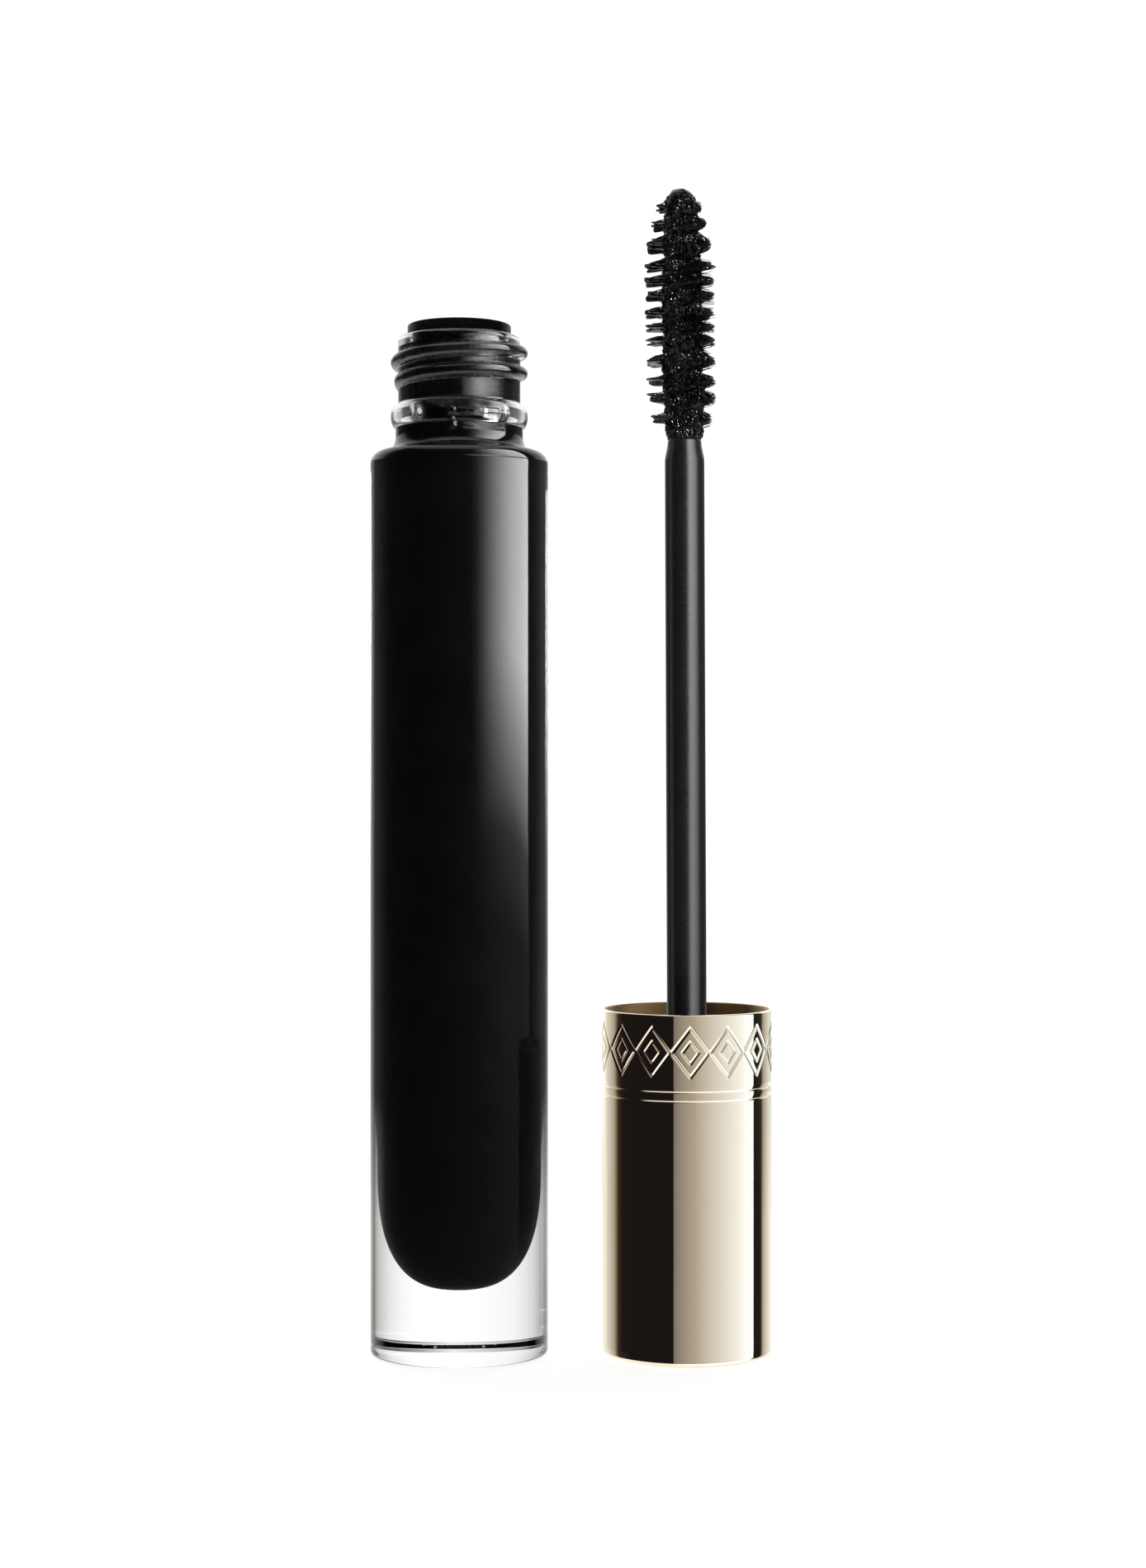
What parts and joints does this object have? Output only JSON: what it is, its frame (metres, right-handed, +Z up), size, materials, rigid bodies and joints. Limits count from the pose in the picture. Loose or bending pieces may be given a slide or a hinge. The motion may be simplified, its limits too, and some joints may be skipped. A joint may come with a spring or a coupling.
{
  "type": "mascara tube",
  "caption": "Open mascara tube: a thick glass bottle with a threaded neck and wiper, and beside it the upturned metal cap with its stem and brush.",
  "frame": {"origin": "centre of the bottle's foot, on the surface it stands on", "axes": "+Z up along the bottle's axis, +X towards the cap that stands beside it"},
  "size_m": [0.0395, 0.0174, 0.1146],
  "materials": {
    "clear_glass": "clear, polished, thick-walled",
    "black_plastic": "satin black",
    "mascara": "wet black paste",
    "gold_metal": "polished champagne gold",
    "inner_plastic": "moulded, dark",
    "liner_foam": "soft pale foam",
    "stem_plastic": "semi-matte charcoal, fine grain",
    "wire_steel": "drawn wire",
    "bristle_nylon": "black nylon"
  },
  "bodies": {
    "bottle": {"glass_bottle": "clear_glass", "wiper": "black_plastic", "mascara_fill": "mascara"},
    "turned": {"tip_drop": "mascara"},
    "lowered": {"mascara_coat": "mascara"},
    "wand": {"wand_stem": "stem_plastic", "wire_core": "wire_steel", "bristles": "bristle_nylon"},
    "cap": {"cap_shell": "gold_metal", "inner_cap": "inner_plastic", "cap_liner": "liner_foam"}
  },
  "joints": [
    {"name": "turn_over", "type": "hinge", "parent": "bottle", "child": "turned", "pos_m": [0.0112, 0, 0.1116], "axis": [0, -1, 0], "range_deg": [0, 180]},
    {"name": "push_in", "type": "slide", "parent": "turned", "child": "lowered", "axis": [0, 0, 1], "range_m": [0, 0.097], "deforming": ["tip_drop"]},
    {"name": "thread_travel", "type": "slide", "parent": "lowered", "child": "wand", "axis": [0, 0, 1], "range_m": [0, 0.0035], "deforming": ["mascara_coat"]},
    {"name": "cap_turn", "type": "hinge", "parent": "wand", "child": "cap", "pos_m": [0.0224, 0, 0], "axis": [0, 0, 1], "range_deg": [0, 630]}
  ],
  "couplings": [
    {"joint": "thread_travel", "follows": "cap_turn", "m_per_rad": 0.00031831}
  ]
}
